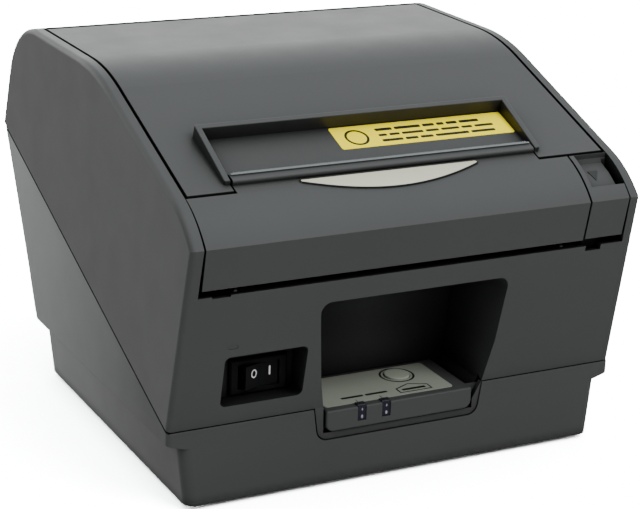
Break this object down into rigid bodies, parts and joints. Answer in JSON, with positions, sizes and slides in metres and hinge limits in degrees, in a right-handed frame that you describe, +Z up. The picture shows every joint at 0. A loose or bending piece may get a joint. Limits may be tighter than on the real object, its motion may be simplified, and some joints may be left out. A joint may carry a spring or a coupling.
{
  "type": "receipt printer",
  "caption": "Wedge-shaped desktop receipt printer with a sloping hinged lid, paper slot and tear bar, front cover, side lever, console recess and rocker switch.",
  "frame": {"origin": "on the ground under the middle of the printer's overall box", "axes": "+Z up, front with the paper slot and console faces -Y, +X right seen from the front"},
  "size_m": [0.227, 0.24, 0.1755],
  "materials": {
    "case_plastic": "fine moulded texture, charcoal",
    "dark_plastic": "smooth black plastic",
    "bay_plastic": "plain dark grey plastic",
    "foot_rubber": "soft black rubber",
    "platen_rubber": "ground black rubber",
    "zinc_steel": "zinc plated sheet",
    "bright_steel": "ground bright steel",
    "black_steel": "blackened steel",
    "screw_steel": "zinc plated screws",
    "spring_steel": "drawn spring wire",
    "gear_plastic": "natural acetal",
    "bearing_plastic": "grey bearing plastic",
    "heatsink_alu": "extruded aluminium",
    "head_ceramic": "glazed ceramic strip",
    "board_green": "solder mask green",
    "chip_black": "moulded black package",
    "can_sleeve": "shrunk sleeve",
    "motor_steel": "drawn steel can",
    "cable_film": "flexible flat cable",
    "label_film": "printed film, grey green",
    "lamp_clear": "smoked light pipe",
    "button_grey": "soft grey key",
    "badge_metal": "satin champagne plate",
    "socket_black": "black socket plastic"
  },
  "bodies": {
    "base": {"upper_case": "case_plastic", "lower_case": "case_plastic", "feet": "foot_rubber", "case_screws": "screw_steel", "chassis_right": "zinc_steel", "chassis_left": "zinc_steel", "chassis_cross": "zinc_steel", "idler_pin": "bright_steel", "feed_motor": "motor_steel", "head_heatsink": "heatsink_alu", "print_head": "head_ceramic", "head_pins": "screw_steel", "head_springs": "spring_steel", "head_cable": "cable_film", "paper_bay": "bay_plastic", "paper_guide": "bay_plastic", "paper_sensor": "dark_plastic", "main_board": "board_green", "board_screws": "screw_steel", "board_chips": "chip_black", "board_capacitors": "can_sleeve", "interface_plate": "zinc_steel", "usb_socket": "socket_black", "serial_socket": "zinc_steel", "drawer_socket": "socket_black", "power_inlet": "socket_black", "plate_screws": "screw_steel", "console_panel": "dark_plastic", "lamp_windows": "lamp_clear", "console_label": "label_film", "console_board": "board_green", "switch_body": "dark_plastic"},
    "lid": {"top_cover": "case_plastic", "hinge_pins": "bright_steel", "platen_bearings": "bearing_plastic", "platen_bracket": "zinc_steel", "fixed_blade": "bright_steel"},
    "platen": {"platen_shaft": "bright_steel", "platen_roller": "platen_rubber", "platen_gear": "gear_plastic"},
    "idler": {"idler_gear": "gear_plastic"},
    "motor_rotor": {"motor_shaft": "bright_steel", "motor_pinion": "gear_plastic"},
    "front": {"front_cover": "case_plastic", "badge": "badge_metal", "tear_bar": "bright_steel", "cutter_frame": "zinc_steel", "cutter_screws": "screw_steel", "cutter_gearbox": "dark_plastic", "cutter_motor": "motor_steel"},
    "blade": {"moving_blade": "bright_steel"},
    "cutter_wheel": {"cutter_pinion": "gear_plastic"},
    "lever": {"cover_lever": "case_plastic", "latch_shaft": "black_steel", "latch_hooks": "black_steel"},
    "button": {"feed_button": "button_grey"},
    "rocker": {"power_rocker": "dark_plastic"}
  },
  "joints": [
    {"name": "lid_hinge", "type": "hinge", "parent": "base", "child": "lid", "pos_m": [0, 0.076, 0.1715], "axis": [-1, 0, 0], "range_deg": [0, 85]},
    {"name": "platen_turn", "type": "hinge", "parent": "lid", "child": "platen", "pos_m": [0, -0.05645, 0.11959], "axis": [1, 0, 0], "continuous": true},
    {"name": "idler_turn", "type": "hinge", "parent": "base", "child": "idler", "pos_m": [0, -0.05262, 0.10077], "axis": [1, 0, 0], "continuous": true},
    {"name": "motor_turn", "type": "hinge", "parent": "base", "child": "motor_rotor", "pos_m": [0, -0.04422, 0.08622], "axis": [1, 0, 0], "continuous": true},
    {"name": "front_cover_slide", "type": "slide", "parent": "base", "child": "front", "axis": [0, -1, 0], "range_m": [0, 0.022]},
    {"name": "blade_slide", "type": "slide", "parent": "front", "child": "blade", "axis": [0, 0.8192, 0.5736], "range_m": [0, 0.01]},
    {"name": "cutter_wheel_turn", "type": "hinge", "parent": "front", "child": "cutter_wheel", "pos_m": [0.0628, -0.08847, 0.12697], "axis": [0, -0.5736, 0.8192], "range_deg": [-125, 0]},
    {"name": "lever_pull", "type": "hinge", "parent": "base", "child": "lever", "pos_m": [0, -0.105, 0.1], "axis": [1, 0, 0], "range_deg": [0, 14]},
    {"name": "feed_button_press", "type": "slide", "parent": "base", "child": "button", "axis": [0, 0, -1], "range_m": [0, 0.001]},
    {"name": "power_rocker_tilt", "type": "hinge", "parent": "base", "child": "rocker", "pos_m": [-0.0678, -0.0914, 0.0561], "axis": [0, 0, 1], "range_deg": [-22, 0]}
  ],
  "couplings": [
    {"joint": "idler_turn", "follows": "platen_turn", "ratio": -0.71429},
    {"joint": "motor_turn", "follows": "platen_turn", "ratio": 1.4286},
    {"joint": "cutter_wheel_turn", "follows": "blade_slide", "rad_per_m": -208.33}
  ]
}
